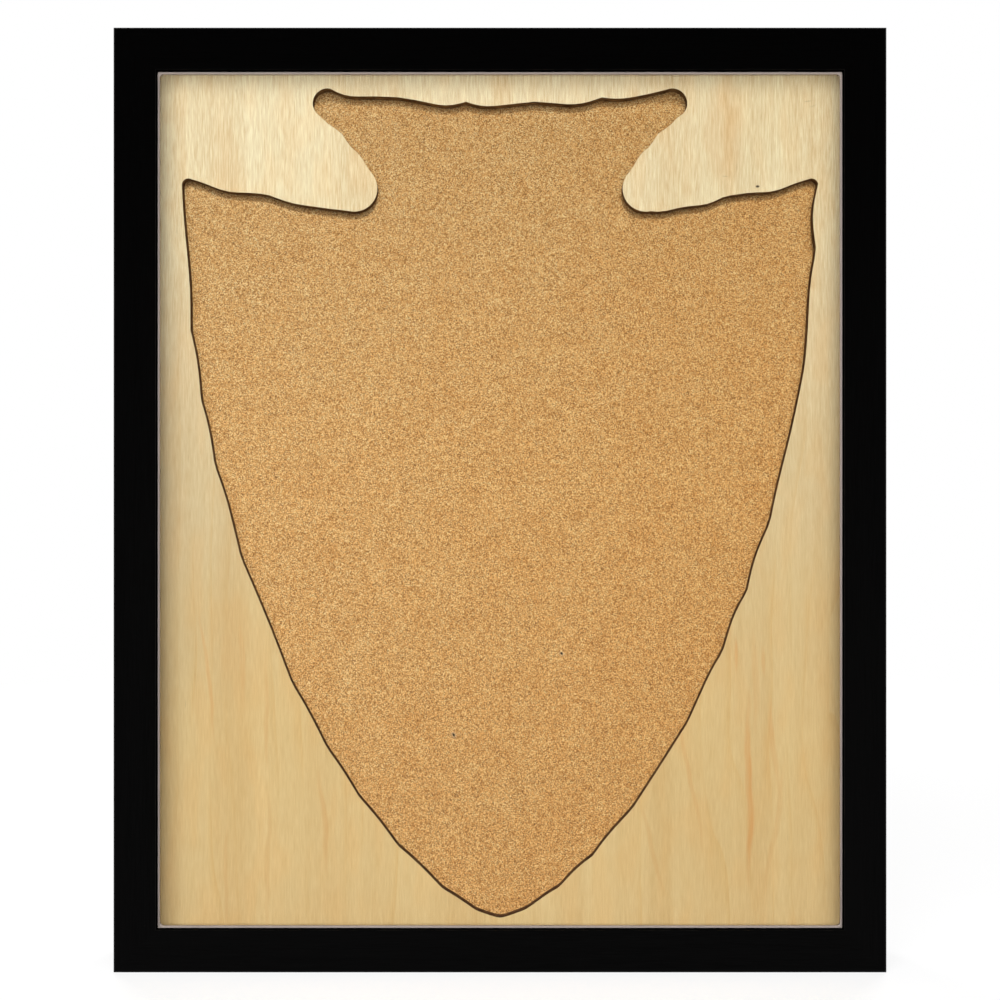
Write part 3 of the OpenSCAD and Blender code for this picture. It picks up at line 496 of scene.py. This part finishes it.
# Matt sheet and moulded stuffs: one fibre or cell pattern, two tones; cell and depth in mm
stuffs = {
    "hardboardBack": {"tones": ((0.105, 0.055, 0.026), (0.215, 0.125, 0.062)), "cell": (0.5, 0.5, 4.0),
                      "rough": (0.42, 0.62), "depth": 0.03, "flecks": (0.05, 0.026, 0.013)},
    "softBoard": {"tones": ((0.50, 0.47, 0.41), (0.66, 0.63, 0.57)), "cell": (0.8, 0.8, 2.4),
                  "rough": (0.85, 0.95), "depth": 0.10, "flecks": (0.38, 0.34, 0.28)},
    "foamGasket": {"tones": ((0.350, 0.297, 0.270), (0.430, 0.366, 0.332)), "cell": (0.35, 0.35, 0.35),
                   "rough": (0.80, 0.92), "depth": 0.04, "flecks": (0.32, 0.27, 0.23)},
    "matRubber": {"tones": ((0.012, 0.011, 0.011), (0.024, 0.022, 0.022)), "cell": (0.4, 0.4, 0.4),
                  "rough": (0.62, 0.80), "depth": 0.03, "flecks": (0.035, 0.033, 0.031)},
}


def makeStuff(name, look):
    mat, tree, shader, position = startMaterial(name, {"Specular IOR Level": 0.35})
    fibres = noise(tree, cells(tree, position, *look["cell"]), 4.0, 0.65, 0.4)
    clouds = noise(tree, cells(tree, position, 35, 35, 35), 3.0)
    share = remap(tree, calc(tree, "ADD", fibres, calc(tree, "MULTIPLY", clouds, 0.25)), 0.40, 0.85)
    colour = mixColour(tree, share, *look["tones"])
    flecks = remap(tree, voronoi(tree, cells(tree, position, 3, 3, 5))["Distance"], 0.10, 0.04, 0.0, 0.7)
    feed(tree, shader.inputs["Base Color"], mixColour(tree, flecks, colour, look["flecks"]))
    feed(tree, shader.inputs["Roughness"], remap(tree, fibres, 0.3, 0.7, *look["rough"]))
    bump(tree, shader, fibres, look["depth"])
    return mat


pinHoles = {
    "places": ((0.0375, 0.1860), (-0.0282, 0.1365)),
    "radius": 0.0007,
    "depth": 0.0052,
    "sides": 12,
    "torn": ((0.00115, 0.00085, -0.70), (0.00145, 0.00090, -1.10)),  # half sizes and lean
}

stain = dict(lacquer, colour=(0.0055, 0.0050, 0.0050), coat=(0.35, 0.20), satin=0.5, poreDepth=0.06,
             wear=0.3)
finish = {
    "lacquerAcross": makeLacquer("lacquerAcross", "X", lacquer),
    "lacquerUpright": makeLacquer("lacquerUpright", "Z", lacquer),
    "stainAcross": makeLacquer("stainAcross", "X", stain),
    "stainUpright": makeLacquer("stainUpright", "Z", stain),
    "birchPly": makeBirch(birch),
    "pressedCork": makeCork(cork),
    "pictureGlass": makeGlass(),
}
for label, look in metals.items():
    finish[label] = makeMetal(label, look)
for label, look in stuffs.items():
    finish[label] = makeStuff(label, look)

wears = {
    "lacquerAcross": ("door_rail_top", "door_rail_bottom", "case_top", "case_bottom"),
    "lacquerUpright": ("door_rail_left", "door_rail_right", "case_side_left", "case_side_right"),
    "stainAcross": ("retainer_top", "retainer_bottom"),
    "stainUpright": ("retainer_left", "retainer_right"),
    "birchPly": ("fascia_panel",),
    "pressedCork": ("cork_sheet",),
    "pictureGlass": ("door_glazing",),
    "foamGasket": ("glazing_gasket",),
    "softBoard": ("pin_backing",),
    "hardboardBack": ("back_panel",),
    "matRubber": ("wall_bumpers",),
    "agedBrass": ("hinge_upper_door_leaf", "hinge_lower_door_leaf", "hinge_upper_case_leaf",
                  "hinge_lower_case_leaf", "hinge_upper_pin", "hinge_lower_pin"),
    "darkBrass": ("hinge_door_screws", "hinge_case_screws"),
    "brightNickel": ("catch_magnets", "hanger_strap_left", "hanger_strap_right", "hanger_screws",
                     "d_ring_left", "d_ring_right"),
    "zincPlate": ("door_corner_nails", "case_corner_nails", "retainer_brads", "back_points",
                  "strike_plates", "strike_screws"),
}
for label, names in wears.items():
    for name in names:
        nodes[name].data.materials[0] = finish[label]
print("materials:", len(finish))


def finishPiece(bm, name, material, body, node, angle=30):
    mesh = bpy.data.meshes.new(name)
    for face in bm.faces:
        face.smooth = True
    bm.to_mesh(mesh)
    bm.free()
    mesh.set_sharp_from_angle(angle=math.radians(angle))
    mesh.materials.append(finish[material])
    piece = bpy.data.objects.new(name, mesh)
    bpy.context.scene.collection.objects.link(piece)
    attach(piece, body)
    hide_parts(node)
    return piece


# Gasket with a rounded rim: the CAD ring, merged, with the edges of its front bevelled
gasketShape = {"round": 0.0003, "segments": 3}


def makeGasket(shape):
    bm = bmesh.new()
    bm.from_mesh(nodes["glazing_gasket"].data)
    bmesh.ops.remove_doubles(bm, verts=bm.verts, dist=1e-6)
    bmesh.ops.dissolve_limit(bm, angle_limit=0.001, verts=bm.verts, edges=bm.edges, delimit={"NORMAL"})
    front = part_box("glazing_gasket")[0].y + 1e-5
    rim = [edge for edge in bm.edges if all(v.co.y < front for v in edge.verts)
           and len(edge.link_faces) == 2 and edge.calc_face_angle() > 1.0]
    bmesh.ops.bevel(bm, geom=rim, offset=shape["round"], segments=shape["segments"], profile=0.5,
                    affect="EDGES", material=-1)
    return finishPiece(bm, "gasket_ring", "foamGasket", "door", "glazing_gasket", 50)


makeGasket(gasketShape)


# Cork with two holes that pins have left
def makeCorkSheet(holes):
    low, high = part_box("cork_sheet")
    bm = bmesh.new()
    lay = Matrix.Rotation(math.radians(90), 4, "X")
    bmesh.ops.create_grid(bm, x_segments=1, y_segments=1, size=0.5)
    bmesh.ops.delete(bm, geom=bm.faces[:], context="FACES_ONLY")
    width = high.x - low.x
    height = high.z - low.z
    bmesh.ops.scale(bm, vec=(width, height, 1), verts=bm.verts)
    centre = Vector((0, low.y, (low.z + high.z) / 2))
    bmesh.ops.transform(bm, matrix=Matrix.Translation(centre) @ lay, verts=bm.verts)
    outline = bm.edges[:]
    rings = []
    for x, z in holes["places"]:
        place = Matrix.Translation((x, low.y, z)) @ lay
        made = bmesh.ops.create_circle(bm, segments=holes["sides"], radius=holes["radius"], matrix=place)
        rings.append({e for v in made["verts"] for e in v.link_edges})
    bmesh.ops.triangle_fill(bm, use_beauty=True, edges=bm.edges[:], normal=(0, -1, 0))
    for ring, (x, z) in zip(rings, holes["places"]):
        edges = list(ring)
        for step, squeeze in ((0.7, 0.75), (0.3, 0.3)):
            moved = bmesh.ops.extrude_edge_only(bm, edges=edges)["geom"]
            verts = [g for g in moved if isinstance(g, bmesh.types.BMVert)]
            edges = [g for g in moved if isinstance(g, bmesh.types.BMEdge)
                     and all(v in verts for v in g.verts)]
            bmesh.ops.translate(bm, vec=(0, holes["depth"] * step, 0), verts=verts)
            toHole = Matrix.Translation((-x, 0, -z))
            bmesh.ops.scale(bm, vec=(squeeze, 1, squeeze), space=toHole, verts=verts)
        bmesh.ops.edgeloop_fill(bm, edges=edges)
    moved = bmesh.ops.extrude_edge_only(bm, edges=outline)["geom"]
    verts = [g for g in moved if isinstance(g, bmesh.types.BMVert)]
    edges = [g for g in moved if isinstance(g, bmesh.types.BMEdge) and all(v in verts for v in g.verts)]
    bmesh.ops.translate(bm, vec=(0, high.y - low.y, 0), verts=verts)
    bmesh.ops.edgeloop_fill(bm, edges=edges)
    bmesh.ops.recalc_face_normals(bm, faces=bm.faces)
    return finishPiece(bm, "cork_field", "pressedCork", "case", "cork_sheet")


makeCorkSheet(pinHoles)

# Domed rubber bumpers, spun round their own axes
bumperShape = {
    "radius": 0.005, "steps": 40,
    "profile": ((1.0, 0.0), (1.0, 0.10), (0.97, 0.30), (0.90, 0.52), (0.78, 0.72), (0.60, 0.88),
                (0.36, 0.97), (0.0, 1.0)),
}


def makeBumpers(shape):
    low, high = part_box("wall_bumpers")
    radius = shape["radius"]
    across = (high.x - low.x) / 2 - radius
    bm = bmesh.new()
    for x in (-across, across):
        for z in (low.z + radius, high.z - radius):
            profile = [bm.verts.new((x, low.y, z))]
            for out, rise in shape["profile"]:
                profile.append(bm.verts.new((x + out * radius, low.y + rise * (high.y - low.y), z)))
            edges = [bm.edges.new(pair) for pair in zip(profile, profile[1:])]
            bmesh.ops.spin(bm, geom=profile + edges, cent=(x, 0, z), axis=(0, 1, 0),
                           angle=math.tau, steps=shape["steps"], use_merge=True)
    bmesh.ops.remove_doubles(bm, verts=bm.verts, dist=1e-6)
    bmesh.ops.recalc_face_normals(bm, faces=bm.faces)
    return finishPiece(bm, "rubber_bumpers", "matRubber", "case", "wall_bumpers", 50)


makeBumpers(bumperShape)
print("pieces made")

# Studio: camera, lamps, world and floor
studio = {
    "camera": (0, -0.724, 0.2794),
    "lens": 42.66,
    "aim": (0, 0, 0.28),
    "lamps": {  # place, width, height, watts, what it lights
        "frontStrip": ((0, -0.775, 0.28), 1.7, 0.20, 7.4, "rest"),
        "upperSoftbox": ((-0.30, -1.05, 0.85), 1.9, 0.90, 8.9, "rest"),
        "corkFill": ((0, -0.775, 0.60), 1.7, 0.50, 6.85, "cork"),
        "backLeftLamp": ((-1.20, 1.50, 1.00), 0.9, 0.9, 18, "all"),
        "backRightLamp": ((1.20, 1.50, 1.00), 0.9, 0.9, 18, "all"),
    },
    "corkSun": {"height": 30, "side": 4, "spread": 8, "strength": 2.05},  # degrees
    "fill": 0.08,
    "mirroredFront": (0.0, 0.13),  # from high up to low down
    "mirroredBack": (0.35, 1.1),  # from low down to high up
    "mirroredSide": 0.85,
    "floorColour": (0.33, 0.33, 0.33),
    "floorGlow": 0.77,  # near the case; far from it the floor is plain white
    "floorFade": (0.5, 1.3),
    "floorSize": 6.0,
}


def makeCamera(look):
    data = bpy.data.cameras.new("photoView")
    data.lens = look["lens"]
    data.sensor_width = 36
    data.clip_start = 0.01
    camera = bpy.data.objects.new("photoView", data)
    camera.location = look["camera"]
    camera.rotation_euler = (math.radians(90), 0, 0)
    bpy.context.scene.collection.objects.link(camera)
    bpy.context.scene.camera = camera


# A lamp lights everything, the cork alone, or all but the cork
def hangLamp(data, place, away, lit):
    lamp = bpy.data.objects.new(data.name, data)
    lamp.location = place
    lamp.rotation_euler = away.to_track_quat("-Z", "Y").to_euler()
    lamp.visible_camera = False
    lamp.visible_glossy = False
    lamp.visible_transmission = False
    bpy.context.scene.collection.objects.link(lamp)
    if lit != "all":
        group = bpy.data.collections.new(data.name + "Lights")
        group.objects.link(bpy.data.objects["cork_field"])
        if lit == "rest":
            group.collection_objects[0].light_linking.link_state = "EXCLUDE"
        lamp.light_linking.receiver_collection = group


def makeLamps(look):
    for name, (place, width, height, watts, lit) in look["lamps"].items():
        data = bpy.data.lights.new(name, "AREA")
        data.shape = "RECTANGLE"
        data.size = width
        data.size_y = height
        data.energy = watts
        hangLamp(data, place, Vector(look["aim"]) - Vector(place), lit)
    sun = look["corkSun"]
    data = bpy.data.lights.new("corkSun", "SUN")
    data.angle = math.radians(sun["spread"])
    data.energy = sun["strength"]
    ray = Vector((-math.tan(math.radians(sun["side"])), 1, -math.tan(math.radians(sun["height"]))))
    hangLamp(data, (0.2, -1.2, 1.2), ray, "cork")


# White behind the object and in what is seen through glass; what surfaces mirror is dim in front,
# so the glass stays clear, and has a gradient behind
def makeWorld(look):
    world = bpy.data.worlds.new("studioWorld")
    bpy.context.scene.world = world
    world.use_nodes = True
    tree = world.node_tree
    ray = addNode(tree, "SeparateXYZ", {0: addNode(tree, "TexCoord").outputs["Generated"]}).outputs
    frontLevel = remap(tree, ray[2], 0.35, -0.35, *look["mirroredFront"])
    backLevel = remap(tree, ray[2], -0.3, 0.7, *look["mirroredBack"])
    behind = remap(tree, ray[1], -0.45, 0.25)
    mirrored = mixValue(tree, behind, frontLevel, backLevel)
    beside = remap(tree, calc(tree, "ABSOLUTE", ray[0]), 0.75, 1.0)
    mirrored = mixValue(tree, beside, mirrored, look["mirroredSide"])
    path = addNode(tree, "LightPath").outputs
    level = mixValue(tree, path["Is Glossy Ray"], look["fill"], mirrored)
    seen = calc(tree, "MAXIMUM", path["Is Camera Ray"], path["Is Transmission Ray"])
    sky = tree.nodes["Background"].inputs
    feed(tree, sky["Color"], (1, 1, 1))
    feed(tree, sky["Strength"], mixValue(tree, seen, level, 1.0))


def makeFloor(look):
    bm = bmesh.new()
    bmesh.ops.create_grid(bm, x_segments=1, y_segments=1, size=look["floorSize"] / 2)
    mesh = bpy.data.meshes.new("floor")
    bm.to_mesh(mesh)
    bm.free()
    floor = bpy.data.objects.new("floor", mesh)
    bpy.context.scene.collection.objects.link(floor)
    plain = {"Roughness": 0.9, "Specular IOR Level": 0.0}
    mat, tree, shader, position = startMaterial("paleFloor", plain)
    mottle = noise(tree, cells(tree, position, 40, 40, 40), 3.0)
    tone = mixColour(tree, remap(tree, mottle, 0.3, 0.7), look["floorColour"],
                     tuple(c * 0.985 for c in look["floorColour"]))
    distance = addNode(tree, "VectorMath", {0: position}, operation="LENGTH").outputs["Value"]
    far = remap(tree, distance, *look["floorFade"])
    feed(tree, shader.inputs["Base Color"], mixColour(tree, far, tone, (0, 0, 0)))
    path = addNode(tree, "LightPath").outputs
    seen = calc(tree, "MAXIMUM", path["Is Camera Ray"], path["Is Transmission Ray"])
    level = remap(tree, far, 0.0, 1.0, look["floorGlow"], 1.0)
    level = calc(tree, "MULTIPLY", seen, level)
    glow = addNode(tree, "Emission", {"Color": (1, 1, 1), "Strength": level})
    both = addNode(tree, "AddShader", {0: shader.outputs[0], 1: glow.outputs[0]})
    tree.links.new(both.outputs[0], tree.nodes["Material Output"].inputs["Surface"])
    mesh.materials.append(mat)
    floor.visible_glossy = False
    floor.visible_diffuse = False


makeCamera(studio)
makeLamps(studio)
makeWorld(studio)
makeFloor(studio)
bpy.context.scene.view_settings.view_transform = "Standard"
print("studio ready")
